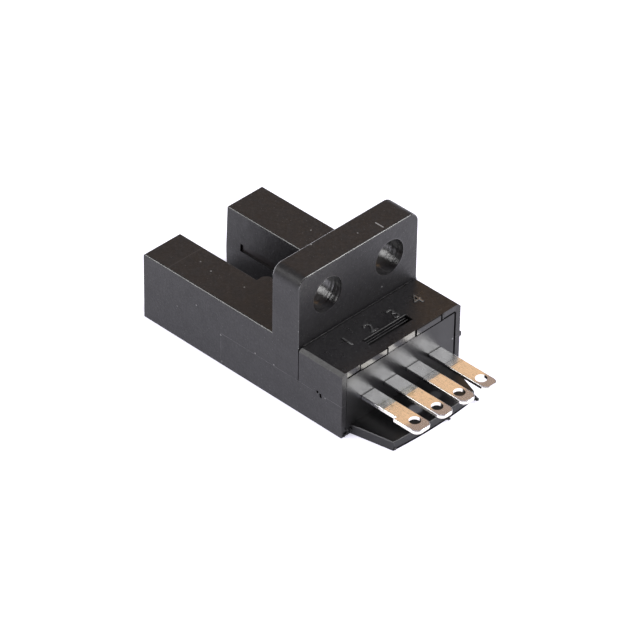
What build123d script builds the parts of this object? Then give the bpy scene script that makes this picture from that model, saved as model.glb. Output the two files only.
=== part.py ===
from build123d import *
import os

# Slot-type photo sensor with a two-hole mounting tab and four flat solder terminals.
# X runs along the body, from the fork tips at -X to the terminals at +X.
# Y is across the fork, with the emitter arm at -Y. Z is up from the flat underside.
# All sizes are in millimetres.

# Outer body
body_width = 13.5
body_height = 6.3
arm_length = 14.55
tab_thickness = 3.0
hood_length = 4.85
tab_height = 12.85
tab_corner_radius = 1.0
tab_front_edge_radius = 0.2
tab_rear_edge_radius = 0.12
case_edge_radius = 0.15
slot_edge_radius = 0.12
hood_edge_chamfer = 0.3
hood_front_chamfer = 0.1

# Mounting holes through the tab
hole_diameter = 3.2
hole_spacing = 7.0
hole_height = 9.9

# Gap between the arms, narrowest at the mould's parting height
slot_width_top = 5.35
slot_width_parting = 5.05
slot_width_bottom = 5.2
slot_parting_height = 2.2
slot_depth = 8.9
bay_width = 3.3
bay_depth = 3.2
bay_corner_radius = 0.6

# Case walls and the joint between the front and the rear case
case_wall = 0.8
slot_wall = 0.75
tip_wall = 0.9
case_parting_height = 3.1
case_joint_gap = 0.08
lip_thickness = 0.35
lip_height = 1.0
lip_end_clearance = 1.0
lip_gap = 0.05
rail_width = 1.05
rail_height = 0.5
rail_end_gap = 0.2

# Rear opening of the hood
hood_side_wall = 0.5
hood_roof = 0.65
latch_slot_length = 0.8
latch_slot_width = 4.85
latch_slot_setback = 1.15
lug_width = 3.1
lug_spacing = 6.35
lug_height = 0.6
lug_slit_width = 0.09
lug_slit_depth = 0.4
lug_proud = 0.06
pip_length = 0.6
pip_height = 0.4
pip_proud = 0.2

# Terminal holder, with its shelf under the terminals
holder_depth = 3.4
holder_near_gap = 0.03
holder_far_gap = 0.2
holder_top_gap = 0.04
latch_ridge_height = 0.3
latch_ridge_length = 0.45
latch_ridge_gap = 0.1
shelf_length = 4.2
shelf_crown = 0.25
shelf_thickness = 0.9
shelf_root_inset = 1.0
shelf_end_inset = 1.8

# Terminals
terminal_count = 4
terminal_pitch = 2.54
terminal_reach = 6.35
terminal_width = 1.5
terminal_thickness = 0.3
terminal_height = 2.95
terminal_hole_diameter = 1.0
terminal_hole_reach = 5.1
terminal_tip_radius = 0.55
terminal_edge_radius = 0.07
terminal_shoulder_reach = 3.8
terminal_shoulder = 0.3
terminal_root_depth = 2.2
tail_width = 0.6
tail_setback = 1.0
tail_bend_radius = 0.25
tail_below_board = 0.35

# Circuit board
board_thickness = 0.8
board_side_gap = 0.15
board_end_gap = 0.1
board_corner_radius = 0.5
board_hole_diameter = 1.0
board_arm_overhang = 0.95
solder_radius = 0.7
solder_top_height = 0.2

# Emitter and receiver packages, both looking across the slot
optical_distance = 4.0
package_height = 1.9
emitter_length = 3.0
receiver_length = 3.4
package_chamfer = 0.12
lens_height = 0.3
lens_gap = 0.1
emitter_lens_radius = 0.85
receiver_lens_radius = 0.6
lead_thickness = 0.15
lead_rise = 0.8
lead_foot = 0.5
emitter_lead_width = 0.8
receiver_lead_width = 0.4
receiver_lead_pitch = 0.8

# Windows in the slot walls
window_start = 1.7
window_length = 6.2
window_height = 0.75
window_recess = 0.2
window_flange = 0.28
window_flange_border = 0.4

# Small parts in a row across the board, evenly spaced from edge to edge
chip_row_setback = 3.4
chip_row_margin = 0.3
resistor_count = 3
resistor_length = 1.6
resistor_width = 0.8
resistor_height = 0.45
capacitor_length = 2.0
capacitor_width = 1.25
capacitor_height = 0.9
diode_length = 1.9
diode_width = 1.25
diode_height = 1.0
end_cap_length = 0.3
transistor_length = 2.9
transistor_width = 1.3
transistor_height = 1.0
transistor_standoff = 0.1
transistor_lead_width = 0.4
transistor_lead_reach = 0.5
transistor_lead_spacing = 1.9

# Places along X
overall_length = arm_length + tab_thickness + hood_length + terminal_reach
tip_x = -overall_length / 2
tab_front_x = tip_x + arm_length
tab_rear_x = tab_front_x + tab_thickness
rear_x = tab_rear_x + hood_length
slot_root_x = tip_x + slot_depth
bay_end_x = slot_root_x + bay_depth
chamber_front_x = bay_end_x + case_wall
holder_front_x = rear_x - holder_depth
tail_x = holder_front_x - tail_setback
optical_x = tip_x + optical_distance

# Places across Y, on the +Y side
half_width = body_width / 2
inner_y = half_width - case_wall
pocket_y = slot_width_top / 2 + slot_wall
window_face_y = slot_width_parting / 2 + window_recess
flange_y = pocket_y + window_flange
board_y = inner_y - lip_thickness - board_side_gap - lip_gap
package_front_y = flange_y + lens_gap + lens_height

# Heights
roof_z = body_height - case_wall
hood_roof_z = body_height - hood_roof
board_bottom_z = case_wall + rail_height
board_top_z = board_bottom_z + board_thickness
optical_z = board_top_z + package_height / 2
terminal_top_z = terminal_height + terminal_thickness / 2
terminal_bottom_z = terminal_height - terminal_thickness / 2

# The row of small parts: the resistors, the capacitor, the diode and the transistor
chip_x = holder_front_x - chip_row_setback
transistor_span = transistor_width + 2 * transistor_lead_reach
row_widths = [resistor_width] * resistor_count + [capacitor_width, diode_width, transistor_span]
row_gap = (2 * (board_y - chip_row_margin) - sum(row_widths)) / (len(row_widths) - 1)
resistor_size = (resistor_length, resistor_width, resistor_height)
capacitor_size = (capacitor_length, capacitor_width, capacitor_height)
diode_size = (diode_length, diode_width, diode_height)

# How far a cutting tool runs past the face it opens, and how close an edge must be to count as found
past = 1.0
match = 0.01


def row_place(index):
    """Where a part of the row lies across the board, counted from the -Y side."""
    start = chip_row_margin - board_y + index * row_gap + sum(row_widths[:index])
    return start + row_widths[index] / 2


capacitor_y = row_place(resistor_count)
diode_y = row_place(resistor_count + 1)
transistor_y = row_place(resistor_count + 2)


def block(x0, x1, y0, y1, z0, z1):
    """A rectangular solid between two corners."""
    centre = ((x0 + x1) / 2, (y0 + y1) / 2, (z0 + z1) / 2)
    return Pos(*centre) * Box(x1 - x0, y1 - y0, z1 - z0)


def prism_x(points, x0, x1):
    """A (y, z) outline carried along X."""
    return extrude(Plane.YZ.offset(x0) * make_face(Polyline(*points, close=True)), amount=x1 - x0)


def prism_y(points, y0, y1):
    """An (x, z) outline carried along Y."""
    face = Plane.XZ.offset(-y1) * make_face(Polyline(*points, close=True))
    return extrude(face, amount=y1 - y0)


def prism_z(points, z0, z1):
    """An (x, y) outline carried along Z."""
    return extrude(Plane.XY.offset(z0) * make_face(Polyline(*points, close=True)), amount=z1 - z0)


def both_sides(solid):
    """A solid on the +Y side and its mirror image on the -Y side."""
    return [solid, mirror(solid, about=Plane.XZ)]


def edges_at(solid, axis, **place):
    """The straight edges along an axis whose middle has the given coordinates, on either side of zero."""
    def matches(edge):
        middle = edge.center()
        return all(abs(abs(getattr(middle, name)) - abs(value)) < match for name, value in place.items())
    return [edge for edge in solid.edges().filter_by(axis) if matches(edge)]


def slot_void():
    """The gap between the arms, flared away from its parting height, and the narrower bay behind it."""
    top, waist, bottom = slot_width_top / 2, slot_width_parting / 2, slot_width_bottom / 2
    high = body_height + past
    flank = [(bottom, -past), (bottom, 0), (waist, slot_parting_height), (top, body_height), (top, high)]
    outline = flank + [(-y, z) for y, z in reversed(flank)]
    slot = prism_x(outline, tip_x - past, slot_root_x)
    bay = block(slot_root_x - past, bay_end_x, -bay_width / 2, bay_width / 2, -past, high)
    void = slot + bay
    corners = edges_at(void, Axis.Z, X=slot_root_x, Y=bay_width / 2)
    return fillet(corners, bay_corner_radius)


def inner_space():
    """The hollow inside both cases: a pocket in each arm and the chamber behind the slot."""
    pocket = block(tip_x + tip_wall, chamber_front_x + past, pocket_y, inner_y, case_wall, roof_z)
    chamber = block(chamber_front_x, holder_front_x + past, -inner_y, inner_y, case_wall, roof_z)
    for side in both_sides(pocket):
        chamber += side
    return chamber


def window_openings():
    """The long narrow openings through both slot walls."""
    start = tip_x + window_start
    low = optical_z - window_height / 2
    return both_sides(block(start, start + window_length, 0, pocket_y + past, low, low + window_height))


def board_rails(x0, x1):
    """Ledges along both side walls, which hold the circuit board off the floor."""
    return both_sides(block(x0, x1, inner_y - rail_width, inner_y, case_wall, board_bottom_z))


def round_face_outline(tab, x, radius):
    """The tab with the outline of its face at x rounded, except where it joins the body."""
    def on_outline(edge):
        middle = edge.center()
        return abs(middle.X - x) < match and middle.Z > body_height
    return fillet([edge for edge in tab.edges() if on_outline(edge)], radius)


def mounting_tab():
    """The upright tab, with rounded top corners and two clear holes."""
    tab = block(tab_front_x, tab_rear_x, -half_width, half_width, roof_z, tab_height)
    tab = fillet(edges_at(tab, Axis.X, Z=tab_height), tab_corner_radius)
    tab = round_face_outline(tab, tab_front_x, tab_front_edge_radius)
    tab = round_face_outline(tab, tab_rear_x, tab_rear_edge_radius)
    for y in (-hole_spacing / 2, hole_spacing / 2):
        middle = Pos((tab_front_x + tab_rear_x) / 2, y, hole_height)
        tab -= middle * Rot(0, 90, 0) * Cylinder(hole_diameter / 2, tab_thickness + past)
    return tab


def front_case():
    """The fork, the tab and the upper half of the body behind the slot, as one moulding."""
    body = block(tip_x, tab_rear_x, -half_width, half_width, 0, body_height)
    top_edges = edges_at(body, Axis.X, Z=body_height) + edges_at(body, Axis.Y, X=tip_x, Z=body_height)
    body = fillet(top_edges, case_edge_radius)
    body -= slot_void()
    body = fillet(edges_at(body, Axis.X, Y=slot_width_top / 2, Z=body_height), slot_edge_radius)
    wide = half_width + past
    body -= block(slot_root_x, tab_rear_x + past, -wide, wide, -past, case_parting_height)
    body -= inner_space()
    for opening in window_openings():
        body -= opening
    for rail in board_rails(tip_x + tip_wall, slot_root_x):
        body += rail
    return body + mounting_tab()


def case_lips():
    """Ribs of the rear case that stand inside the front case's walls and line the two up."""
    x0 = slot_root_x + lip_end_clearance
    x1 = tab_rear_x - lip_end_clearance
    outer = inner_y - lip_gap
    inner = outer - lip_thickness
    root = block(x0, x1, inner, inner_y, board_bottom_z, case_parting_height)
    tongue = block(x0, x1, inner, outer, case_parting_height, case_parting_height + lip_height)
    return both_sides(root + tongue)


def hood_lugs():
    """Two low pads on the hood's rear edge, above the terminal holder."""
    near = (lug_spacing - lug_width) / 2
    far = near + lug_width
    high = hood_roof_z + lug_height
    return both_sides(block(rear_x - lug_proud, rear_x + lug_proud, near, far, hood_roof_z, high))


def lug_slits():
    """The narrow slit through the hood's rim beside each lug, on its +Y side."""
    near = (lug_spacing - lug_width) / 2
    low, high = hood_roof_z - past, hood_roof_z + lug_height
    return [block(rear_x - lug_slit_depth, rear_x + past, y, y + lug_slit_width, low, high)
            for y in (-near, near + lug_width)]


def parting_pip():
    """The small stub that the mould leaves beside the hood's rear edge, at the parting height."""
    low = case_parting_height - pip_height / 2
    return block(rear_x - pip_length, rear_x, inner_y, half_width + pip_proud, low, low + pip_height)


def hood():
    """The box behind the tab, with its long top edges bevelled."""
    front = tab_rear_x + case_joint_gap
    shell = block(front, rear_x, -half_width, half_width, 0, body_height)
    shell = chamfer(edges_at(shell, Axis.X, Z=body_height), hood_edge_chamfer)
    shell = chamfer(edges_at(shell, Axis.Y, X=front, Z=body_height), hood_front_chamfer)
    for lug in hood_lugs():
        shell += lug
    return shell + parting_pip()


def holder_socket():
    """The space in the hood that the terminal holder fills, open below and behind."""
    side = half_width - hood_side_wall
    return block(holder_front_x, rear_x + past, -side, side, -past, hood_roof_z)


def latch_slot():
    """The slot through the hood's roof for the holder's snap ridge."""
    rear = rear_x - latch_slot_setback
    side = latch_slot_width / 2
    return block(rear - latch_slot_length, rear, -side, side, hood_roof_z - past, body_height + past)


def rear_case():
    """The floor behind the slot and the hood behind the tab, as one moulding open at the rear."""
    case = block(slot_root_x, tab_rear_x + past, -half_width, half_width, 0, case_parting_height)
    case += hood()
    for void in [slot_void(), inner_space(), holder_socket(), latch_slot(), *lug_slits()]:
        case -= void
    rail_end_x = tail_x - solder_radius - rail_end_gap
    for rib in board_rails(slot_root_x, rail_end_x) + case_lips():
        case += rib
    return case


def terminal_y(index):
    """Where a terminal lies across the body, counted from the -Y side."""
    return (index - (terminal_count - 1) / 2) * terminal_pitch


def blade_outline(y, shoulder):
    """Plan of the flat blade from its root inside the holder to its tip."""
    left, right = y - terminal_width / 2, y + terminal_width / 2
    root = rear_x - terminal_root_depth
    step = rear_x + terminal_shoulder_reach
    end = rear_x + terminal_reach
    outline = [(root, left), (root, right), (end, right), (end, left - shoulder)]
    if shoulder:
        outline += [(step, left - shoulder), (step, left)]
    return outline


def rolled_edges(blade):
    """The upper edges that the punch rolled over: all but the one across the blade's root."""
    root_x = rear_x - terminal_root_depth
    top = [edge for edge in blade.edges() if abs(edge.bounding_box().min.Z - terminal_top_z) < match]
    return [edge for edge in top if edge.center().X > root_x + match]


def terminal(index):
    """A flat stamped blade with an eye at its tip, and a tail that turns down through the board."""
    y = terminal_y(index)
    shoulder = terminal_shoulder if index == 0 else 0
    blade = prism_z(blade_outline(y, shoulder), terminal_bottom_z, terminal_top_z)
    blade = fillet(edges_at(blade, Axis.Z, X=rear_x + terminal_reach), terminal_tip_radius)
    blade = fillet(rolled_edges(blade), terminal_edge_radius)
    eye = Pos(rear_x + terminal_hole_reach, y, terminal_height)
    blade -= eye * Cylinder(terminal_hole_diameter / 2, terminal_thickness + past)
    return blade + tail(y)


def tail(y):
    """The narrow inner end of a terminal, bent down to the board with an even thickness."""
    outer_x = tail_x - terminal_thickness / 2
    inner_x = tail_x + terminal_thickness / 2
    end_z = board_bottom_z - tail_below_board
    root_x = rear_x - terminal_root_depth
    outline = [(outer_x, end_z), (inner_x, end_z), (inner_x, terminal_bottom_z),
               (root_x, terminal_bottom_z), (root_x, terminal_top_z), (outer_x, terminal_top_z)]
    strip = prism_y(outline, y - tail_width / 2, y + tail_width / 2)
    inner_bend = edges_at(strip, Axis.Y, X=inner_x, Z=terminal_bottom_z)
    strip = fillet(inner_bend, tail_bend_radius)
    outer_bend = edges_at(strip, Axis.Y, X=outer_x, Z=terminal_top_z)
    return fillet(outer_bend, tail_bend_radius + terminal_thickness)


def shelf():
    """The thin tapered plate that reaches out under the terminals, with a slightly crowned end."""
    root, end = half_width - shelf_root_inset, half_width - shelf_end_inset
    crown_x = rear_x + shelf_length
    corner_x = crown_x - shelf_crown
    rooted_x = rear_x - past
    sides = Polyline((corner_x, -end), (rear_x, -root), (rooted_x, -root),
                     (rooted_x, root), (rear_x, root), (corner_x, end))
    nose = ThreePointArc((corner_x, end), (crown_x, 0), (corner_x, -end))
    return extrude(make_face([sides, nose]), amount=shelf_thickness)


def latch_ridge():
    """The snap ridge that stands in the hood's latch slot, ramped on its leading side."""
    top = hood_roof_z - holder_top_gap
    rear = rear_x - latch_slot_setback - latch_ridge_gap
    front = rear - latch_ridge_length
    outline = [(front, top - past), (rear, top - past), (rear, top + latch_ridge_height),
               (rear - latch_ridge_length / 2, top + latch_ridge_height), (front, top)]
    half = latch_slot_width / 2 - latch_ridge_gap
    return prism_y(outline, -half, half)


def terminal_holder():
    """The block that closes the hood's rear and grips the terminals."""
    side = half_width - hood_side_wall
    near, far = holder_near_gap - side, side - holder_far_gap
    holder = block(holder_front_x, rear_x, near, far, 0, hood_roof_z - holder_top_gap)
    holder += shelf()
    holder += latch_ridge()
    for index in range(terminal_count):
        holder -= terminal(index)
    return holder


def board_hole(index, radius, z0, z1):
    """A round plug on a terminal's tail, from one height to another."""
    return Pos(tail_x, terminal_y(index), (z0 + z1) / 2) * Cylinder(radius, z1 - z0)


def circuit_board():
    """The fork-shaped board, with an arm into each arm of the case."""
    front = optical_x - receiver_length / 2 - board_arm_overhang
    inner = flange_y + board_end_gap
    crotch = chamber_front_x + board_side_gap
    rear = holder_front_x - board_end_gap
    outline = [(rear, -board_y), (rear, board_y), (front, board_y), (front, inner), (crotch, inner),
               (crotch, -inner), (front, -inner), (front, -board_y)]
    board = prism_z(outline, board_bottom_z, board_top_z)
    board = fillet(edges_at(board, Axis.Z, X=crotch, Y=inner), board_corner_radius)
    for index in range(terminal_count):
        board -= board_hole(index, board_hole_diameter / 2, board_bottom_z - past, board_top_z + past)
    return board


def solder_joints():
    """Solder round each tail: a cone under the board, the filled hole and a small fillet on top."""
    joints = []
    for index in range(terminal_count):
        place = Pos(tail_x, terminal_y(index), 0)
        hole_radius = board_hole_diameter / 2
        under = Pos(0, 0, board_bottom_z - tail_below_board / 2)
        over = Pos(0, 0, board_top_z + solder_top_height / 2)
        joint = place * under * Cone(hole_radius, solder_radius, tail_below_board)
        joint += board_hole(index, hole_radius, board_bottom_z, board_top_z)
        joint += place * over * Cone(solder_radius, hole_radius, solder_top_height)
        joints.append(joint - terminal(index))
    return joints


def package(length, lens_radius):
    """A side-looking package on the +Y board arm, with its lens towards the slot."""
    body = block(optical_x - length / 2, optical_x + length / 2, package_front_y, board_y, board_top_z,
                 board_top_z + package_height)
    body = chamfer(body.edges().filter_by(Axis.Y), package_chamfer)
    ball = Pos(optical_x, package_front_y + lens_radius - lens_height, optical_z) * Sphere(lens_radius)
    cap = block(optical_x - length / 2, optical_x + length / 2, package_front_y - past, package_front_y,
                board_top_z, board_top_z + package_height)
    return body + (ball & cap)


def end_lead(length, width, y, direction):
    """A bent lead at one end of a package: up its end face and out along the board."""
    face = optical_x + direction * length / 2
    outer = face + direction * lead_thickness
    foot = face + direction * lead_foot
    low, high = board_top_z, board_top_z + lead_rise
    outline = [(face, low), (foot, low), (foot, low + lead_thickness), (outer, low + lead_thickness),
               (outer, high), (face, high)]
    return prism_y(outline, y - width / 2, y + width / 2)


def emitter():
    return mirror(package(emitter_length, emitter_lens_radius), about=Plane.XZ)


def receiver():
    return package(receiver_length, receiver_lens_radius)


def emitter_leads():
    """One lead at each end of the emitter."""
    y = (package_front_y + board_y) / 2
    return [end_lead(emitter_length, emitter_lead_width, -y, direction) for direction in (-1, 1)]


def receiver_leads():
    """Supply and ground at the receiver's rear end, and its output at the front."""
    y = (package_front_y + board_y) / 2
    leads = [end_lead(receiver_length, emitter_lead_width, y, -1)]
    for side in (-1, 1):
        place = y + side * receiver_lead_pitch / 2
        leads.append(end_lead(receiver_length, receiver_lead_width, place, 1))
    return leads


def window():
    """The receiver's window: a bar that fills the opening, with a flange inside the arm."""
    start = tip_x + window_start
    end = start + window_length
    low, high = optical_z - window_height / 2, optical_z + window_height / 2
    bar = block(start, end, window_face_y, pocket_y, low, high)
    border = window_flange_border
    flange = block(start - border, end + border, pocket_y, flange_y, low - border, high + border)
    return bar + flange


def chip(y, length, width, height):
    """A small part's moulded body between its metal ends."""
    middle = Pos(chip_x, y, board_top_z + height / 2)
    return middle * Box(length - 2 * end_cap_length, width, height)


def chip_ends(y, length, width, height):
    """The two metal ends of a small part."""
    reach = (length - end_cap_length) / 2
    cap = Box(end_cap_length, width, height)
    z = board_top_z + height / 2
    return [Pos(chip_x + direction * reach, y, z) * cap for direction in (-1, 1)]


def chip_resistors():
    return [chip(row_place(index), *resistor_size) for index in range(resistor_count)]


def chip_end_caps():
    """The metal ends of the resistors, the capacitor and the diode."""
    caps = chip_ends(capacitor_y, *capacitor_size) + chip_ends(diode_y, *diode_size)
    for index in range(resistor_count):
        caps += chip_ends(row_place(index), *resistor_size)
    return caps


def output_transistor():
    """The moulded body of the switching transistor, raised on its leads."""
    middle_z = board_top_z + transistor_standoff + transistor_height / 2
    body = Pos(chip_x, transistor_y, middle_z) * Box(transistor_length, transistor_width, transistor_height)
    return chamfer(body.edges().group_by(Axis.Z)[-1], package_chamfer)


def gull_lead(x, direction):
    """A lead that leaves the transistor's side and steps down to the board."""
    start = transistor_width / 2
    knee = start + transistor_lead_reach / 2
    end = start + transistor_lead_reach
    low = board_top_z
    high = board_top_z + transistor_standoff + transistor_height / 2
    half = lead_thickness / 2
    foot_top = low + lead_thickness
    profile = [(start, high - half), (start, high + half), (knee + half, high + half),
               (knee + half, foot_top), (end, foot_top), (end, low),
               (knee - half, low), (knee - half, high - half)]
    outline = [(transistor_y + direction * y, z) for y, z in profile]
    return prism_x(outline, x - transistor_lead_width / 2, x + transistor_lead_width / 2)


def transistor_leads():
    """Two leads on one side of the transistor and one on the other."""
    pair = [gull_lead(chip_x + end * transistor_lead_spacing / 2, 1) for end in (-1, 1)]
    return pair + [gull_lead(chip_x, -1)]


def write(name, shape):
    """Save one node, whose shape is one solid or a list of separate solids."""
    shapes = shape if isinstance(shape, list) else [shape]
    solids = [solid for item in shapes for solid in item.solids()]
    export_step(Compound(children=solids), f"parts/{name}.step")


def main():
    os.makedirs("parts", exist_ok=True)
    write("front_case", front_case())
    write("rear_case", rear_case())
    write("terminal_holder", terminal_holder())
    for index in range(terminal_count):
        write(f"terminal_{index + 1}", terminal(index))
    write("receiver_window", window())
    write("emitter_window", mirror(window(), about=Plane.XZ))
    write("circuit_board", circuit_board())
    write("solder_joints", solder_joints())
    write("emitter", emitter())
    write("emitter_leads", emitter_leads())
    write("receiver", receiver())
    write("receiver_leads", receiver_leads())
    write("chip_resistors", chip_resistors())
    write("chip_capacitor", chip(capacitor_y, *capacitor_size))
    write("protection_diode", chip(diode_y, *diode_size))
    write("chip_end_caps", chip_end_caps())
    write("output_transistor", output_transistor())
    write("transistor_leads", transistor_leads())


main()
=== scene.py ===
"""The looks of a slot-type photo sensor: its materials, small moulded detail, floor, lamps and camera."""
import math
import random
from collections import namedtuple

import bmesh
import bpy
from mathutils import Matrix, Vector

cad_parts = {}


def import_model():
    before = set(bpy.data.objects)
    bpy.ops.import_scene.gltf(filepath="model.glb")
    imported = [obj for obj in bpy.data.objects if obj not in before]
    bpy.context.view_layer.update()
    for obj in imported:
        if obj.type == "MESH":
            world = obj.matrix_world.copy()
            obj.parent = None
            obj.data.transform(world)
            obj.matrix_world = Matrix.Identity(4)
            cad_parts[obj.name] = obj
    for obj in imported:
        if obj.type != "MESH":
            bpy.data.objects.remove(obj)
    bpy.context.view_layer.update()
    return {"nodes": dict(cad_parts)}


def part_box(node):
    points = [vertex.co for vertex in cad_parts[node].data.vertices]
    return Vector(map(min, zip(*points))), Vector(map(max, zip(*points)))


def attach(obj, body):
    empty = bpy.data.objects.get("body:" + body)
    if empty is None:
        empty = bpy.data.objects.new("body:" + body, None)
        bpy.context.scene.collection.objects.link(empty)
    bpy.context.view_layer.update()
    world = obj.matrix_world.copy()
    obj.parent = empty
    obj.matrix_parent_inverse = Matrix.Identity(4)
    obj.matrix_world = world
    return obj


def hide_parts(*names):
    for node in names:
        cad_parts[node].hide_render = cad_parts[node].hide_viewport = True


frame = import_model()

# Units
mm = 0.001
metre_in_mm = 1000.0


def node_box(name):
    """The lowest and highest corners of a node, in millimetres."""
    low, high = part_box(name)
    return Vector(low) * metre_in_mm, Vector(high) * metre_in_mm


# The places that the frame gives, in millimetres. X runs to the terminals, Y to the receiver arm, Z up.
front_low, front_high = node_box("front_case")
rear_low, rear_high = node_box("rear_case")
terminal_names = [f"terminal_{number}" for number in (1, 2, 3, 4)]
tip_x = front_low.x
near_y = front_low.y
far_y = front_high.y
tab_rear_x = front_high.x
tab_top_z = front_high.z
body_top_z = rear_high.z
slot_root_x = rear_low.x
shelf_end_x = node_box("terminal_holder")[1].x

# Sizes in millimetres that the frame doesn't give
parting_z = 3.1
lug_proud = 0.06
rear_x = rear_high.x - lug_proud
hole_height = 9.9
hole_spacing = 7.0
hole_radius = 1.6
latch_slot_behind = 1.95
latch_slot_front_x = rear_x - latch_slot_behind
latch_slot_half = 2.42
hood_roof_z = 5.65
shelf_top_z = 0.9
shelf_half = 4.95
tab_corner = 2.5


# Shader nodes

Place = namedtuple("Place", "whole x y z")
Side = namedtuple("Side", "x y z")

# The values between which a noise does most of its varying
usual_low = 0.3
usual_high = 0.7

# The parts of the normal, up and to the rear, where a face starts to count and where it counts in full
facing_up = (0.9, 0.99)
facing_rear = (0.8, 0.95)

# The largest part of the normal along any axis, up to where a face is a round edge and from where it is flat
edge_turn = (0.86, 0.985)

# The widths in millimetres over which masks fade
fine_border = 0.03
soft_border = 0.05
wide_border = 0.1

# The share of a spot's radius that is full
spot_core = 0.5

black = (0.0, 0.0, 0.0)
white = (1.0, 1.0, 1.0)


def put(tree, socket, value):
    """Give a socket a value, or link it to another node's socket."""
    if isinstance(value, bpy.types.NodeSocket):
        tree.links.new(value, socket)
    elif socket.type == "RGBA" and len(value) == 3:
        socket.default_value = (*value, 1.0)
    else:
        socket.default_value = value


def node(tree, kind, inputs=None, **settings):
    """A new shader node with its settings and inputs."""
    made = tree.nodes.new("ShaderNode" + kind)
    for name, value in settings.items():
        setattr(made, name, value)
    for name, value in (inputs or {}).items():
        put(tree, made.inputs[name], value)
    return made


def calc(tree, operation, first, second=0.0):
    """The result of one Math node."""
    return node(tree, "Math", {0: first, 1: second}, operation=operation).outputs[0]


def places(tree):
    """Object coordinates in millimetres, whole and split."""
    inputs = {0: node(tree, "TexCoord").outputs["Object"], "Scale": metre_in_mm}
    whole = node(tree, "VectorMath", inputs, operation="SCALE").outputs["Vector"]
    split = node(tree, "SeparateXYZ", {0: whole})
    return Place(whole, split.outputs["X"], split.outputs["Y"], split.outputs["Z"])


def facing(tree):
    """The parts of the surface normal along x, y and z."""
    split = node(tree, "SeparateXYZ", {0: node(tree, "NewGeometry").outputs["Normal"]})
    return Side(split.outputs["X"], split.outputs["Y"], split.outputs["Z"])


def size_of(tree, value):
    """A value without its sign."""
    return calc(tree, "ABSOLUTE", value)


def distance(tree, vector, point):
    """How far a vector lies from a point."""
    return node(tree, "VectorMath", {0: vector, 1: point}, operation="DISTANCE").outputs["Value"]


def noise(tree, vector, per_mm, detail=3.0, roughness=0.5):
    """Noise from 0 to 1, at a number of waves to the millimetre."""
    inputs = {"Vector": vector, "Scale": per_mm, "Detail": detail, "Roughness": roughness}
    return node(tree, "TexNoise", inputs).outputs["Fac"]


def stretched(tree, vector, x, y, z):
    """The coordinates scaled on each axis, for streaks."""
    return node(tree, "Mapping", {"Vector": vector, "Scale": (x, y, z)}).outputs["Vector"]


def spread(tree, value, low, high, to_low=0.0, to_high=1.0):
    """A value carried from one range to another and held inside it, with soft ends."""
    inputs = {"Value": value, "From Min": low, "From Max": high, "To Min": to_low, "To Max": to_high}
    return node(tree, "MapRange", inputs, interpolation_type="SMOOTHSTEP").outputs["Result"]


def falling(tree, value, low, high):
    """1 up to the low value, and 0 from the high one."""
    return spread(tree, value, low, high, 1.0, 0.0)


def varied(tree, wave, low, high):
    """A value that follows a noise from low to high."""
    return spread(tree, wave, usual_low, usual_high, low, high)


def patchy(tree, wave, low, high, least):
    """1 where a noise is high, and no less than the least value where it is low."""
    return spread(tree, wave, low, high, least, 1.0)


def near(tree, value, middle, half, soft):
    """1 where a value is within half of the middle, falling to 0 over a soft border."""
    away = size_of(tree, calc(tree, "SUBTRACT", value, middle))
    return falling(tree, away, half, half + soft)


def both(tree, *masks):
    """The product of several masks."""
    result = masks[0]
    for mask in masks[1:]:
        result = calc(tree, "MULTIPLY", result, mask)
    return result


def either(tree, *masks):
    """The strongest of several masks."""
    result = masks[0]
    for mask in masks[1:]:
        result = calc(tree, "MAXIMUM", result, mask)
    return result


def times(tree, mask, strength):
    """A mask made weaker or stronger."""
    return calc(tree, "MULTIPLY", mask, strength)


def without(tree, mask, taken):
    """A mask less another one."""
    return both(tree, mask, calc(tree, "SUBTRACT", 1.0, taken))


def spot(tree, vector, middle, radius):
    """1 at a point, falling to 0 at a distance from it."""
    return falling(tree, distance(tree, vector, middle), radius * spot_core, radius)


def scatter(tree, vector, per_mm, share, size):
    """Small round spots at random places, in a share of the cells."""
    cells = node(tree, "TexVoronoi", {"Vector": vector, "Scale": per_mm, "Randomness": 1.0})
    chance = node(tree, "SeparateXYZ", {0: cells.outputs["Color"]}).outputs["X"]
    chosen = calc(tree, "LESS_THAN", chance, share)
    return both(tree, chosen, falling(tree, cells.outputs["Distance"], size * spot_core, size))


def rounded_edges(tree):
    """1 on the small rounds and bevels of edges, 0 on flat faces that lie along the axes."""
    sides = [size_of(tree, side) for side in facing(tree)]
    return falling(tree, either(tree, *sides), *edge_turn)


def blend_colour(tree, factor, first, second):
    """One colour where the factor is 0 and another where it is 1."""
    return node(tree, "Mix", {0: factor, 6: first, 7: second}, data_type="RGBA").outputs[2]


def blend_value(tree, factor, first, second):
    """One value where the factor is 0 and another where it is 1."""
    return node(tree, "Mix", {0: factor, 2: first, 3: second}, data_type="FLOAT").outputs[0]


def layered(tree, colour, layers):
    """A colour with others laid over it in turn, each where its mask is 1."""
    for mask, over in layers:
        colour = blend_colour(tree, mask, colour, over)
    return colour


def bump(tree, height, distance_mm, strength=1.0, normal=None):
    """A surface normal from a height, whose full range stands for a distance. The distance may vary."""
    reach = distance_mm if isinstance(distance_mm, bpy.types.NodeSocket) else distance_mm * mm
    inputs = {"Height": height, "Distance": reach, "Strength": strength}
    if normal is not None:
        inputs["Normal"] = normal
    return node(tree, "Bump", inputs).outputs["Normal"]


def material(name):
    """A material with an empty Principled shader. Gives the material, its tree and the shader."""
    made = bpy.data.materials.new(name)
    made.use_nodes = True
    return made, made.node_tree, made.node_tree.nodes["Principled BSDF"]


def finish_with(tree, shader, **inputs):
    """Set the shader's inputs by their names, with _ for a space."""
    for name, value in inputs.items():
        put(tree, shader.inputs[name.replace("_", " ")], value)


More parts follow.
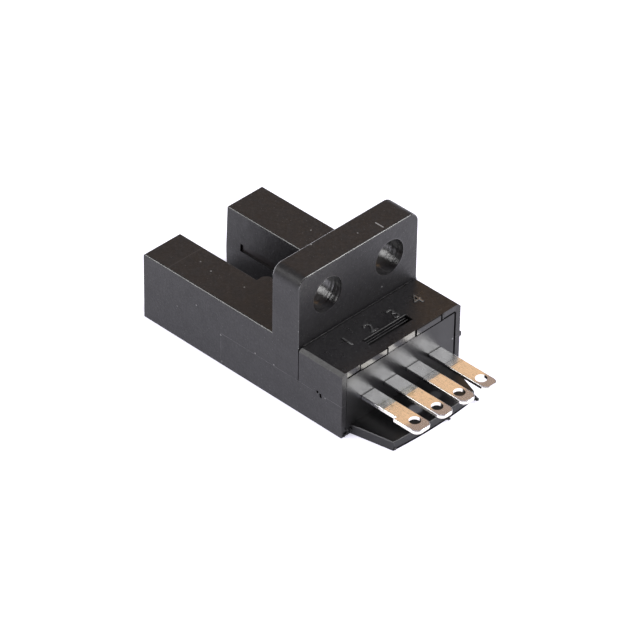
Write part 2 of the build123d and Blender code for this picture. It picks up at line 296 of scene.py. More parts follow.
def blacken(tree, shader, gap_shade):
    """Painted shade: take all light from the surface where the gap_shade mask is 1, as in a deep narrow slit.
    """
    colour = shader.inputs["Base Color"].links[0].from_socket
    finish_with(tree, shader, Base_Color=blend_colour(tree, gap_shade, colour, black), Metallic=gap_shade)
    finish_with(tree, shader, Specular_Tint=blend_colour(tree, gap_shade, white, black))


# The black filled plastic of the case

# Its colours, from the dark and the light of its mottling to the dust on it. The pale colours of worn edges
# and their nicks are partly wear and partly painted highlight
plastic_dark = (0.0098, 0.0091, 0.0110)
plastic_light = (0.0138, 0.0129, 0.0150)
plastic_grain = (0.0210, 0.0200, 0.0225)
plastic_specks = (0.070, 0.070, 0.075)
plastic_wear_and_highlight = (0.036, 0.036, 0.038)
plastic_nicks_and_glints = (0.20, 0.20, 0.205)
plastic_seam = (0.085, 0.085, 0.090)
plastic_dust = (0.34, 0.34, 0.35)

# How rough its faces are, and what is worn or polished: least and most
satin_roughness = (0.39, 0.47)
shiny_roughness = (0.19, 0.26)

# How deep its unevenness is in millimetres, and the share of the grain that polish leaves
cloud_depth = 0.05
grain_depth = 0.022
polished_grain = 0.12

# The skin on worn edges and in the bores, which shows lamps as bright lines
skin_roughness = 0.16
skin_index = 1.8
skin_strength = 0.8

# The share of the skin on upright edges, and the parts of the normal upwards between which it grows to all
upright_skin = 0.35
upright_turn = (0.05, 0.2)

# The raised line where the two mouldings meet: half its width, its border and its height
seam_half = 0.01
seam_border = 0.035
seam_height = 0.012

# Nibs and dust that catch the light
near_side_spots = [(-8.3, 4.4), (-10.5, 3.1), (-5.5, 2.9), (-5.4, 0.3), (0.5, 3.2), (6.2, 3.0), (-1.6, 3.2)]
arm_top_spots = [(-10.4, -4.2), (-8.9, -4.5), (-5.5, -4.1), (-7.2, 5.2)]
tab_top_spots = [(3.2, 0.2), (3.2, 3.5), (0.4, -2.6), (1.9, 1.1)]
pale_spots = [(x, near_y, z) for x, z in near_side_spots]
pale_spots += [(x, y, body_top_z) for x, y in arm_top_spots]
pale_spots += [(x, y, tab_top_z) for x, y in tab_top_spots]
pale_spots += [(3.2, 2.7, 7.4)]
spot_radius = 0.09
nib_strength = 0.6

# Pits in the hood's near side, blackened as painted shade
pits = [(5.35, near_y, 3.2), (5.68, near_y, 3.08), (5.72, near_y, 2.91)]
pit_radius = 0.15
pit_depth = 0.08

# The faint line that a mould insert leaves across the near arm, and how far below the top it fades
insert_x = -11.65
insert_half = 0.02
insert_fade = (0.3, 0.1)
insert_strength = 0.07

# The scratch on the tab's top, and how far below the top it fades
scratch_x = 2.35
scratch_y = 3.1
scratch_half_length = 0.42
scratch_half_width = 0.035
scratch_fade = (0.2, 0.1)
scratch_strength = 2.0

# The rings in the bores: waves to the millimetre along and across the bore, and depth
ring_waves = (3.5, 0.4, 0.4)
ring_depth = 0.048

# How far outside its radius a bore's wall ends, and how shiny the wall is
bore_border = (0.01, 0.05)
bore_polish = 0.5

# The part of the normal along X up to where a face is one of the tab's round corners, and from where it isn't
corner_turn = (0.05, 0.15)


def seam_lines(tree, at):
    """The line between the mouldings, along the sides and down at the slot's root, broken here and there."""
    gaps = noise(tree, at.whole, per_mm=0.9, detail=4.0, roughness=0.6)
    broken = patchy(tree, gaps, low=0.35, high=0.62, least=0.1)
    behind_slot = spread(tree, at.x, slot_root_x - soft_border, slot_root_x)
    below_parting = falling(tree, at.z, parting_z, parting_z + soft_border)
    along = both(tree, near(tree, at.z, parting_z, seam_half, seam_border), behind_slot)
    down = both(tree, near(tree, at.x, slot_root_x, seam_half, seam_border), below_parting)
    return both(tree, either(tree, along, down), broken)


def nibs(tree, at):
    """Nibs and dust, some at random and some in their places."""
    marks = times(tree, scatter(tree, at.whole, per_mm=0.55, share=0.2, size=0.03), nib_strength)
    for middle in pale_spots:
        marks = either(tree, marks, spot(tree, at.whole, middle, spot_radius))
    return both(tree, marks, patchy(tree, noise(tree, at.whole, per_mm=7.0), low=0.35, high=0.6, least=0.3))


def tab_scratch(tree, at):
    """The scratch on the tab."""
    along = near(tree, at.x, scratch_x, scratch_half_length, soft_border)
    across = near(tree, at.y, scratch_y, scratch_half_width, fine_border)
    on_top = spread(tree, at.z, tab_top_z - scratch_fade[0], tab_top_z - scratch_fade[1])
    return times(tree, both(tree, along, across, on_top), scratch_strength)


def insert_line(tree, at):
    """The insert's line across the near arm, at its top."""
    line = near(tree, at.x, insert_x, insert_half, soft_border)
    near_arm = falling(tree, at.y, -wide_border, 0.0)
    on_top = spread(tree, at.z, body_top_z - insert_fade[0], body_top_z - insert_fade[1])
    return times(tree, both(tree, line, near_arm, on_top), insert_strength)


def pit_marks(tree, at):
    """The small pits in the hood's near side."""
    return either(tree, *[spot(tree, at.whole, middle, pit_radius) for middle in pits])


def plastic_colour(tree, at, mottle, grain, seam, edge_wear_and_highlight):
    """Mottled black with grain, specks, worn and nicked edges whose pale colour is partly painted highlight,
    the seam and dust.
    """
    nicks_and_glints = spread(tree, noise(tree, at.whole, per_mm=3.0, roughness=0.7), low=0.58, high=0.66)
    layers = [
        (spread(tree, grain, low=0.42, high=0.62), plastic_grain),
        (scatter(tree, at.whole, per_mm=3.2, share=0.35, size=0.18), plastic_specks),
        # Worn edges and nicks: pale from wear and partly painted highlight
        (edge_wear_and_highlight, plastic_wear_and_highlight),
        (both(tree, edge_wear_and_highlight, nicks_and_glints), plastic_nicks_and_glints),
        (seam, plastic_seam),
        (either(tree, nibs(tree, at), tab_scratch(tree, at), insert_line(tree, at)), plastic_dust),
    ]
    return layered(tree, blend_colour(tree, mottle, plastic_dark, plastic_light), layers)


def moulded_plastic(tree, at, edge_wear_and_highlight, polish):
    """Colour, roughness and normal of the plastic, shinier where polish is 1 and on worn edges, whose colour
    is partly painted highlight.
    """
    mottle = noise(tree, at.whole, per_mm=1.1, detail=4.0, roughness=0.6)
    clouds = noise(tree, at.whole, per_mm=0.35, detail=2.0)
    grain = noise(tree, at.whole, per_mm=4.0, detail=4.0, roughness=0.7)
    seam = seam_lines(tree, at)
    colour = plastic_colour(tree, at, mottle, grain, seam, edge_wear_and_highlight)
    satin = varied(tree, mottle, *satin_roughness)
    shiny = varied(tree, mottle, *shiny_roughness)
    roughness = blend_value(tree, either(tree, edge_wear_and_highlight, polish), satin, shiny)
    normal = bump(tree, clouds, cloud_depth)
    normal = bump(tree, grain, grain_depth, spread(tree, polish, 0.0, 1.0, 1.0, polished_grain), normal)
    normal = bump(tree, seam, seam_height, 1.0, normal)
    return colour, roughness, normal


def bore_walls(tree, at):
    """1 in the tab's two holes."""
    flat = node(tree, "CombineXYZ", {0: 0.0, 1: at.y, 2: at.z}).outputs["Vector"]
    walls = []
    for y in (-hole_spacing / 2, hole_spacing / 2):
        reach = distance(tree, flat, (0, y, hole_height))
        walls.append(falling(tree, reach, hole_radius + bore_border[0], hole_radius + bore_border[1]))
    return either(tree, *walls)


def round_corners(tree, at, side):
    """1 on the tab's round upper corners."""
    high = spread(tree, at.z, tab_top_z - tab_corner - wide_border, tab_top_z - tab_corner)
    return both(tree, high, falling(tree, size_of(tree, side.x), *corner_turn))


def case_plastic():
    """The fork and tab. The bores are smooth, and the tab's round corners are as matt as its faces."""
    made, tree, shader = material("case_black")
    at = places(tree)
    side = facing(tree)
    bore = bore_walls(tree, at)
    edge_wear_and_highlight = without(tree, rounded_edges(tree), either(tree, round_corners(tree, at, side), bore))
    share = spread(tree, size_of(tree, side.z), *upright_turn, upright_skin, 1.0)
    skin = times(tree, both(tree, edge_wear_and_highlight, share), skin_strength)
    colour, roughness, normal = moulded_plastic(tree, at, edge_wear_and_highlight, times(tree, bore, bore_polish))
    rings = noise(tree, stretched(tree, at.whole, *ring_waves), per_mm=1.0)
    normal = bump(tree, rings, ring_depth, bore, normal)
    coat = either(tree, skin, times(tree, bore, skin_strength))
    finish_with(tree, shader, Base_Color=colour, Roughness=roughness, Normal=normal)
    finish_with(tree, shader, Coat_Weight=coat, Coat_Normal=normal)
    finish_with(tree, shader, Coat_Roughness=skin_roughness, Coat_IOR=skin_index)
    return made


# The rear moulding

# How rough the hood's polished top is, least and most, and its glossy rim, and how strong its chamfers' skin
top_roughness = (0.27, 0.34)
rim_roughness = 0.15
chamfer_skin = 0.12

# How far above the roof the top's polish is full, and how far above the top a raised mark begins and is full
top_fade = 0.3
raised_fade = (0.01, 0.03)

# The glossy rim: how far before the rear face it begins and is full, half its length, and where its slits are
# painted black as shade
rim_fade = (0.05, 0.01)
rim_half = 6.1
rim_end_border = 0.15
slit_ys = (-1.68, 1.56, 4.5)
slit_half = 0.075

# The painted shade in the joint under the rim: its height and half its width, and from where to where it is
# how dark
joint_z = hood_roof_z + 0.04
joint_half = 0.065
joint_spans = [(-6.3, -1.6, 1.0), (-1.6, 1.5, 0.45), (1.5, 6.1, 0.9)]


def roof_joint(tree, at):
    """Painted shade: 1 in the fine gap between the hood's roof and the terminal holder."""
    spans = []
    for low, high, depth in joint_spans:
        span = near(tree, at.y, (low + high) / 2, (high - low) / 2, soft_border)
        spans.append(times(tree, span, depth))
    return both(tree, near(tree, at.z, joint_z, joint_half, fine_border), either(tree, *spans))


def rim_slits(tree, at):
    """Painted shade: 1 in the narrow slits of the rim."""
    slits = [near(tree, at.y, middle, slit_half, fine_border) for middle in slit_ys]
    return both(tree, either(tree, *slits), spread(tree, at.z, hood_roof_z - fine_border, hood_roof_z))


def hood_plastic():
    """The same plastic, polished on the hood's top and glossy on its slit rear rim, with painted shade in the
    rim's slits, in the joint under the rim and in the pits, and a painted highlight on the raised numerals.
    """
    made, tree, shader = material("hood_black")
    at = places(tree)
    side = facing(tree)
    above_roof = spread(tree, at.z, hood_roof_z, hood_roof_z + top_fade)
    top = both(tree, spread(tree, side.z, *facing_up), above_roof)
    raised = spread(tree, at.z, body_top_z + raised_fade[0], body_top_z + raised_fade[1])
    rim = both(tree, spread(tree, side.x, *facing_rear),
               spread(tree, at.x, rear_x - rim_fade[0], rear_x - rim_fade[1]),
               near(tree, at.y, 0.0, rim_half, rim_end_border))
    chamfer = without(tree, rounded_edges(tree), either(tree, raised, rim))
    # The raised numerals get the pale edge colour: a painted highlight on the same black plastic
    colour, roughness, normal = moulded_plastic(tree, at, raised, rim)
    polished = varied(tree, noise(tree, at.whole, per_mm=1.1, detail=4.0), *top_roughness)
    roughness = blend_value(tree, top, roughness, polished)
    roughness = blend_value(tree, rim, roughness, rim_roughness)
    # Painted shade: the rim's slits and the joint under it are blackened
    gap_shade = both(tree, rim, either(tree, rim_slits(tree, at), roof_joint(tree, at)))
    pitted = pit_marks(tree, at)
    normal = bump(tree, pitted, -pit_depth, 1.0, normal)
    finish_with(tree, shader, Base_Color=colour, Roughness=roughness, Normal=normal)
    # The pits are blackened as painted shade too
    blacken(tree, shader, either(tree, gap_shade, pitted))
    skin = either(tree, raised, times(tree, chamfer, chamfer_skin))
    finish_with(tree, shader, Coat_Weight=skin, Coat_Roughness=skin_roughness, Coat_IOR=skin_index)
    return made


# The terminal holder

# Its colours, from the dark and the light of its mottling to the scuffs and painted light spots on it, and a
# painted highlight on the shelf's rounded edges
holder_dark = (0.0080, 0.0080, 0.0090)
holder_light = (0.0125, 0.0122, 0.0135)
holder_specks = (0.12, 0.12, 0.12)
holder_scuffs_and_light = (0.30, 0.31, 0.34)
holder_grain = (0.012, 0.012, 0.014)
holder_edge_highlight = (0.05, 0.05, 0.052)

# How rough its faces are and the sides of its shelf, least and most, and the shelf itself
holder_roughness = (0.33, 0.40)
shelf_side_roughness = (0.45, 0.58)
shelf_roughness = 0.28

# How deep its waves and the grain of the shelf's sides are, in millimetres
wave_depth = 0.02
side_grain_depth = 0.02
side_grain_strength = 0.6

# The part of the normal upwards up to where a face is a side of the shelf, and from where it isn't
side_turn = (0.5, 0.8)

# The parts of the normal upwards where a face of the shelf starts to be a round edge, and where it stops
round_from = (0.1, 0.3)
round_to = (0.8, 0.95)

# The strength of the edges that face the rear, and the parts of the normal to the rear where it sets in
rear_edge_strength = 0.25
rear_edge_turn = (0.3, 0.6)

# Dust and pale scuffs on the holder and its shelf, and painted light on the shelf's top between the
# terminals: place, radius and strength
holder_scuffs_and_light_spots = [
    ((8.0, 5.93, 3.1), 0.11, 1.0),
    ((8.0, 0.2, 1.9), 0.11, 1.0),
    ((12.1, 3.16, 0.28), 0.32, 0.9),
    # Painted light on the shelf's top, seen between the terminals
    ((10.3, -0.7, 0.9), 0.7, 0.9),
    ((10.15, 1.8, 0.9), 0.6, 0.25),
]

# The painted shade low on the shelf's end, where it stands on the floor: from how far behind the hood, and up
# to what height
shade_strip_reach = (3.5, 3.7)
shade_strip_heights = (0.2, 0.42)
shade_strip_raggedness = 0.3


def torn_strip(tree, at, grain):
    """Painted shade: 1 low on the shelf's end, up to a ragged line."""
    ragged = calc(tree, "ADD", at.z, times(tree, grain, shade_strip_raggedness))
    past = spread(tree, at.x, rear_x + shade_strip_reach[0], rear_x + shade_strip_reach[1])
    return both(tree, past, falling(tree, ragged, *shade_strip_heights))


def shelf_edges(tree, side, low):
    """1 on the rounds of the shelf's upper edges, and weaker on those that face the rear."""
    sloped = both(tree, spread(tree, side.z, *round_from), falling(tree, side.z, *round_to))
    return both(tree, sloped, low, spread(tree, side.x, *rear_edge_turn, 1.0, rear_edge_strength))


def holder_plastic():
    """Glossy black plastic, satin on the shelf, with painted shade low on its end and in the joint under the
    hood's rim.
    """
    made, tree, shader = material("holder_black")
    at = places(tree)
    side = facing(tree)
    mottle = noise(tree, at.whole, per_mm=0.9)
    waves = noise(tree, at.whole, per_mm=0.6, detail=2.0)
    grain = noise(tree, at.whole, per_mm=6.0, detail=2.0)
    low = falling(tree, at.z, shelf_top_z, shelf_top_z + soft_border)
    shelf = both(tree, spread(tree, side.z, *facing_up), low)
    sides = both(tree, falling(tree, side.z, *side_turn), low)
    edges = shelf_edges(tree, side, low)
    marks = [times(tree, spot(tree, at.whole, middle, radius), strength)
             for middle, radius, strength in holder_scuffs_and_light_spots]
    layers = [
        (scatter(tree, at.whole, per_mm=0.8, share=0.25, size=0.035), holder_specks),
        # Dust and scuffs, and painted light on the shelf's top
        (either(tree, *marks), holder_scuffs_and_light),
        (both(tree, sides, spread(tree, grain, low=0.4, high=0.6)), holder_grain),
        # Painted highlight on the rounds of the shelf's upper edges
        (edges, holder_edge_highlight),
    ]
    colour = layered(tree, blend_colour(tree, mottle, holder_dark, holder_light), layers)
    roughness = varied(tree, mottle, *holder_roughness)
    roughness = blend_value(tree, shelf, roughness, shelf_roughness)
    roughness = blend_value(tree, sides, roughness, varied(tree, grain, *shelf_side_roughness))
    grain_reach = spread(tree, sides, 0.0, 1.0, 0.0, side_grain_depth * mm)
    normal = bump(tree, waves, wave_depth)
    normal = bump(tree, grain, grain_reach, side_grain_strength, normal)
    # Painted shade: the strip low on the shelf's end and the joint under the hood's rim are blackened
    gap_shade = both(tree, spread(tree, side.x, *facing_rear),
               either(tree, torn_strip(tree, at, grain), roof_joint(tree, at)))
    finish_with(tree, shader, Base_Color=colour, Roughness=roughness, Normal=normal)
    blacken(tree, shader, gap_shade)
    finish_with(tree, shader, Coat_Weight=edges, Coat_Roughness=skin_roughness, Coat_IOR=skin_index)
    return made


# The terminals. Places along them are counted from the hood's rear face.

# Their colours: tin, the warm part past the bend, speckle, the tip, stains, painted shade along terminal 4's
# edges, and the cross marks with painted shade at the root
tin_dark = (0.88, 0.88, 0.90)
tin_light = (0.97, 0.97, 0.98)
warm_dark = (0.89, 0.85, 0.80)
warm_light = (0.96, 0.92, 0.87)
tin_speckle = (0.66, 0.66, 0.65)
tin_tip = (0.56, 0.58, 0.68)
tin_stain = (0.62, 0.62, 0.52)
tin_edge_shade = (0.10, 0.095, 0.09)
tin_marks_and_root_shade = (0.20, 0.20, 0.20)

# How rough they are, least and most, and at the tip and on the speckle
tin_roughness = (0.13, 0.2)
tip_roughness = 0.27
speckle_roughness = 0.3

# Where the warm colour and the dull tip begin and are full, and where the stains lie
warm_reach = (1.9, 2.6)
tip_reach = (5.1, 6.0)
stain_reach = 2.2
stain_half = 0.4
stain_strength = 0.6
stain_side = (-1.5, 0.0)

# The part of the normal upwards where a face of the tip starts to be dull and is dull in full
tip_turn = (0.5, 0.9)

# The cross marks: how far out each is and how dark, and the painted shade at the root where the terminals
# leave the holder
cross_marks = [(1.82, 0.8), (1.96, 0.35), (2.42, 0.5), (2.56, 0.3)]
cross_half = 0.018
root_shade_reach = 0.03
root_shade_half = 0.02
root_shade_border = 0.04

# How far out the terminals start to fall away, where they were pressed flat, and by how many degrees
coined_reach = 2.42
coined_fall = 3.0

# Terminal 4 has painted shade along its near edge and weaker, brownish painted shade along its far edge, up
# to its round tip
dull_edge_y = 2.86
dull_edge_half = 0.09
dull_edge_border = 0.04
brown_edge_y = 4.73
brown_edge_half = 0.06
brown_strength = 0.5
dull_end_x = 13.2
dull_end_border = 0.3

# The rolled streaks: waves to the millimetre on each axis, depth in millimetres and strength
streak_waves = (0.6, 9.0, 9.0)
streak_depth = 0.006
streak_strength = 0.5

# The blotches of all bright metal: depth and strength
blotch_depth = 0.01
blotch_strength = 0.3


def cross_lines(tree, at):
    """Dark scribed lines across the terminals, broken here and there, and a whole line of painted shade at
    the root.
    """
    broken = patchy(tree, noise(tree, at.whole, per_mm=1.7, detail=2.0), low=0.35, high=0.6, least=0.2)
    lines = [times(tree, near(tree, at.x, rear_x + reach, cross_half, fine_border), depth)
             for reach, depth in cross_marks]
    # Painted shade in the crevice where the terminals leave the holder
    root = near(tree, at.x, rear_x + root_shade_reach, root_shade_half, root_shade_border)
    return either(tree, both(tree, either(tree, *lines), broken), root)


def tarnished_edges(tree, at):
    """Painted shade along both long edges of the last terminal."""
    along = falling(tree, at.x, dull_end_x - dull_end_border, dull_end_x)
    dull = near(tree, at.y, dull_edge_y, dull_edge_half, dull_edge_border)
    brown = times(tree, near(tree, at.y, brown_edge_y, brown_edge_half, soft_border), brown_strength)
    return both(tree, along, either(tree, dull, brown))


def stained_patches(tree, at):
    """Stains where the terminals turn warm, more of them to the near side."""
    stains = noise(tree, at.whole, per_mm=2.3, detail=4.0, roughness=0.7)
    place = near(tree, at.x, rear_x + stain_reach, stain_half, stain_half)
    patches = spread(tree, stains, low=0.46, high=0.56)
    return times(tree, both(tree, place, patches, falling(tree, at.y, *stain_side)), stain_strength)


def dull_tip(tree, at, blotches):
    """1 on the upper face past a ragged line near the tip."""
    ragged = calc(tree, "ADD", at.x, blotches)
    past = spread(tree, ragged, rear_x + tip_reach[0], rear_x + tip_reach[1])
    return both(tree, past, spread(tree, facing(tree).z, *tip_turn))


def terminal_metal():
    """Tin-plated strip, rolled along its length, slightly warm in the middle and dull at the tip."""
    made, tree, shader = material("terminal_tin")
    at = places(tree)
    streaks = noise(tree, stretched(tree, at.whole, *streak_waves), per_mm=1.0, detail=4.0, roughness=0.6)
    blotches = noise(tree, at.whole, per_mm=1.6, detail=4.0, roughness=0.6)
    speckle = noise(tree, at.whole, per_mm=5.0, roughness=0.7)
    tip = dull_tip(tree, at, blotches)
    tin = blend_colour(tree, blotches, tin_dark, tin_light)
    layers = [
        (spread(tree, at.x, rear_x + warm_reach[0], rear_x + warm_reach[1]),
         blend_colour(tree, blotches, warm_dark, warm_light)),
        (spread(tree, speckle, low=0.45, high=0.75, to_high=0.35), tin_speckle),
        (tip, tin_tip),
        (stained_patches(tree, at), tin_stain),
        # Painted shade along terminal 4's edges
        (tarnished_edges(tree, at), tin_edge_shade),
        # The cross marks and the painted shade at the root
        (cross_lines(tree, at), tin_marks_and_root_shade),
    ]
    roughness = varied(tree, streaks, *tin_roughness)
    roughness = blend_value(tree, tip, roughness, tip_roughness)
    roughness = blend_value(tree, spread(tree, speckle, low=0.5, high=0.8), roughness, speckle_roughness)
    past_bend = calc(tree, "MAXIMUM", calc(tree, "SUBTRACT", at.x, rear_x + coined_reach), 0.0)
    normal = bump(tree, times(tree, past_bend, -math.tan(math.radians(coined_fall))), 1.0)
    normal = bump(tree, streaks, streak_depth, streak_strength, normal)
    normal = bump(tree, blotches, blotch_depth, blotch_strength, normal)
    finish_with(tree, shader, Base_Color=layered(tree, tin, layers), Metallic=1.0)
    finish_with(tree, shader, Roughness=roughness, Normal=normal)
    return made


# The other materials

window_dark = (0.016, 0.012, 0.014)
window_light = (0.022, 0.016, 0.018)
window_roughness = (0.3, 0.38)
board_dark = (0.012, 0.085, 0.035)
board_light = (0.02, 0.13, 0.055)
weave_waves = (6.0, 6.0, 20.0)
torn_dark = (0.010, 0.010, 0.011)
torn_pale = (0.20, 0.20, 0.205)
torn_roughness = (0.2, 0.6)

# How dark the dark spots of a metal and of a solid are, and how much the metal's roughness varies
metal_shade = 0.85
solid_shade = 0.75
metal_unevenness = 0.12


def window_plastic():
    """Dark plastic that only infrared light passes."""
    made, tree, shader = material("window_dark")
    mottle = noise(tree, places(tree).whole, per_mm=1.5)
    colour = blend_colour(tree, mottle, window_dark, window_light)
    finish_with(tree, shader, Base_Color=colour, Roughness=varied(tree, mottle, *window_roughness))
    return made


def board_laminate():
    """Green solder mask over glass laminate."""
    made, tree, shader = material("board_green")
    weave = noise(tree, stretched(tree, places(tree).whole, *weave_waves), per_mm=1.0, detail=2.0)
    colour = blend_colour(tree, weave, board_dark, board_light)
    normal = bump(tree, weave, distance_mm=0.01, strength=0.4)
    finish_with(tree, shader, Base_Color=colour, Roughness=0.35, Normal=normal)
    return made


def darker(tone, share):
    """A share of a colour."""
    return tuple(share * part for part in tone)


def bright_metal(name, tone, roughness):
    """Solder and plated leads."""
    made, tree, shader = material(name)
    blotches = noise(tree, places(tree).whole, per_mm=3.0, detail=4.0)
    colour = blend_colour(tree, blotches, darker(tone, metal_shade), tone)
    rough = varied(tree, blotches, roughness, roughness + metal_unevenness)
    normal = bump(tree, blotches, blotch_depth, blotch_strength)
    finish_with(tree, shader, Base_Color=colour, Metallic=1.0, Roughness=rough, Normal=normal)
    return made


def fine_solid(name, tone, roughness):
    """Resin, ceramic or moulding compound with a faint grain."""
    made, tree, shader = material(name)
    grain = noise(tree, places(tree).whole, per_mm=6.0)
    colour = blend_colour(tree, grain, darker(tone, solid_shade), tone)
    normal = bump(tree, grain, distance_mm=0.006, strength=0.3)
    finish_with(tree, shader, Base_Color=colour, Roughness=roughness, Normal=normal)
    return made


def torn_plastic():
    """The black plastic where it broke from the mould's runner: matt, with pale crazed spots."""
    made, tree, shader = material("torn_black")
    crumbs = noise(tree, places(tree).whole, per_mm=6.0, detail=4.0, roughness=0.7)
    crazed = spread(tree, crumbs, low=0.5, high=0.68)
    colour = blend_colour(tree, crazed, torn_dark, torn_pale)
    roughness = varied(tree, crumbs, *torn_roughness)
    normal = bump(tree, crumbs, distance_mm=0.05)
    finish_with(tree, shader, Base_Color=colour, Roughness=roughness, Normal=normal)
    return made


def dress_nodes(case, hood, holder):
    """Give every node of the frame its material."""
    lead = bright_metal("lead_tin", tone=(0.8, 0.8, 0.79), roughness=0.2)
    compound = fine_solid("moulding_compound_black", tone=(0.022, 0.022, 0.024), roughness=0.5)
    terminal = terminal_metal()
    window = window_plastic()
    finishes = {
        "front_case": case,
        "rear_case": hood,
        "terminal_holder": holder,
        "emitter_window": window,
        "receiver_window": window,
        "circuit_board": board_laminate(),
        "solder_joints": bright_metal("solder_bright", tone=(0.75, 0.75, 0.76), roughness=0.15),
        "emitter": fine_solid("emitter_resin_clear", tone=(0.30, 0.40, 0.55), roughness=0.15),
        "emitter_leads": lead,
        "receiver": fine_solid("receiver_resin_dark", tone=(0.05, 0.02, 0.05), roughness=0.2),
        "receiver_leads": lead,
        "chip_resistors": fine_solid("resistor_glaze", tone=(0.03, 0.03, 0.032), roughness=0.3),
        "chip_capacitor": fine_solid("capacitor_ceramic_tan", tone=(0.42, 0.27, 0.14), roughness=0.4),
        "protection_diode": compound,
        "chip_end_caps": lead,
        "output_transistor": compound,
        "transistor_leads": lead,
    }
    finishes.update({name: terminal for name in terminal_names})
    for name, finish in finishes.items():
        for slot in frame["nodes"][name].material_slots:
            slot.material = finish


# Pieces

# A bead's rings: how far apart they are in millimetres, their corners, and the width of the end ones
bead_step = 0.12
bead_sides = 10
bead_end_width = 0.5

# How much smaller or larger than its radius a lump is at each of its points
lump_range = (0.75, 1.2)

# The lip at the latch slot's front edge: radius, wobble, and how far before, above and past the edge it lies
lip_seed = 1
lip_radius = 0.1
lip_wobble = 0.15
lip_forward = 0.03
lip_raise = 0.02
lip_overrun = 0.1

# Fine ribs inside the latch slot: how far behind the slot's front edge, height and radius
latch_ribs = [(0.08, 6.1, 0.045), (0.345, 6.1, 0.045)]
first_rib_seed = 3
rib_wobble = 0.3

# The flash at the tab's foot: radius, wobble, and how far behind the tab, below the top and in from the sides
flash_seed = 2
flash_radius = 0.04
flash_wobble = 0.35
flash_behind = 0.05
flash_below = 0.03
flash_inset = 0.4

# Raised pin numbers on the hood, in front of their terminals
numeral_height = 1.7
numeral_relief = 0.02
numeral_bevel = 0.06
numeral_thinning = 0.03
numeral_x = 5.85
numeral_ys = (-3.8, -1.25, 1.4, 4.1)

# The crumbs at the hood's near bottom corner: least and most of each, and how their top rises from the corner
crumb_seed = 7
crumb_count = 16
crumb_sizes = (0.05, 0.11)
crumb_insets = (0.25, 1.1)
crumb_reach = (-0.02, 0.12)
crumb_lowest = 0.1
crumb_highest = 0.55
crumb_rise = 0.35

# The shelf: how far behind the hood it starts, how far its far corner is cut back, and the round of its edge
shelf_start_behind = 0.1
far_corner_cut = 0.6
shelf_round = 0.07

# How near to each other points are one, and how near to a height they lie at it, in millimetres
weld_distance = 0.001
height_tolerance = 0.01

# The angle in degrees below which two faces are one flat face
flat_angle = 1

# How far the shelf's end bulges, and the stubs that the mould's gates left on it: y, z, reach and radius
shelf_crown = 0.25
gate_stubs = [(0.85, 0.3, 0.3, 0.26), (4.3, 0.3, 0.42, 0.24), (-4.75, 0.1, 0.05, 0.12)]

# The lumps that make a stub: where the row starts, how much each shrinks and strays, and room above the floor
stub_seed = 11
stub_lumps = 3
stub_start = 0.2
stub_taper = 0.15
stub_stray = 0.05
stub_room = 1.2


def keep_piece(name, mesh, finish):
    """Put a mesh in the scene as a piece that rides on the body."""
    mesh.materials.clear()
    mesh.materials.append(finish)
    made = bpy.data.objects.new(name, mesh)
    bpy.context.scene.collection.objects.link(made)
    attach(made, "root")
    return made


def mesh_from(name, bm, smooth=True):
    """A mesh in metres from a bmesh in millimetres."""
    bmesh.ops.scale(bm, vec=(mm, mm, mm), verts=bm.verts)
    bmesh.ops.recalc_face_normals(bm, faces=bm.faces)
    for face in bm.faces:
        face.smooth = smooth
    mesh = bpy.data.meshes.new(name)
    bm.to_mesh(mesh)
    bm.free()
    return mesh


def add_bead(bm, start, end, radius, wobble, seed):
    """A thin round bead along a straight line, a little uneven in width and closed at both ends."""
    draw = random.Random(seed)
    start, end = Vector(start), Vector(end)
    along = (end - start).normalized()
    side = along.orthogonal().normalized()
    other = along.cross(side)
    count = max(2, round((end - start).length / bead_step))
    rings = []
    for index in range(count + 1):
        middle = start.lerp(end, index / count)
        width = radius * (1 - wobble * draw.random())
        if index in (0, count):
            width *= bead_end_width
        ring = []
        for turn in range(bead_sides):
            angle = 2 * math.pi * turn / bead_sides
            outward = side * math.cos(angle) + other * math.sin(angle)
            ring.append(bm.verts.new(middle + outward * width))
        rings.append(ring)
    for first, second in zip(rings, rings[1:]):
        for turn in range(bead_sides):
            after = (turn + 1) % bead_sides
            bm.faces.new((first[turn], first[after], second[after], second[turn]))
    bm.faces.new(rings[0])
    bm.faces.new(list(reversed(rings[-1])))


def add_crumb(bm, middle, size, draw):
    """A small rough lump."""
    made = bmesh.ops.create_icosphere(bm, subdivisions=2, radius=size)
    turn = Matrix.Rotation(draw.uniform(0, math.pi), 3, Vector((draw.random(), draw.random(), 1)))
    for vert in made["verts"]:
        vert.co = turn @ (vert.co * draw.uniform(*lump_range))
        vert.co += Vector(middle)


def slot_bead(finish):
    """The raised lip along the front edge of the latch slot."""
    bm = bmesh.new()
    x = latch_slot_front_x - lip_forward
    z = body_top_z + lip_raise
    far_end = latch_slot_half + lip_overrun
    add_bead(bm, (x, -latch_slot_half, z), (x, far_end, z), lip_radius, lip_wobble, lip_seed)
    keep_piece("latch_slot_lip", mesh_from("latch_slot_lip", bm), finish)


def slot_ribs(finish):
    """The ribs of the latch in its slot, from one end of the slot to the other."""
    bm = bmesh.new()
    for seed, (behind, z, radius) in enumerate(latch_ribs, start=first_rib_seed):
        x = latch_slot_front_x + behind
        add_bead(bm, (x, -latch_slot_half, z), (x, latch_slot_half, z), radius, rib_wobble, seed)
    keep_piece("latch_slot_ribs", mesh_from("latch_slot_ribs", bm), finish)


def foot_bead(finish):
    """The fine flash in the joint between the tab's foot and the hood."""
    bm = bmesh.new()
    x = tab_rear_x + flash_behind
    side = far_y - flash_inset
    z = body_top_z - flash_below
    add_bead(bm, (x, -side, z), (x, side, z), flash_radius, flash_wobble, flash_seed)
    keep_piece("joint_flash", mesh_from("joint_flash", bm), finish)


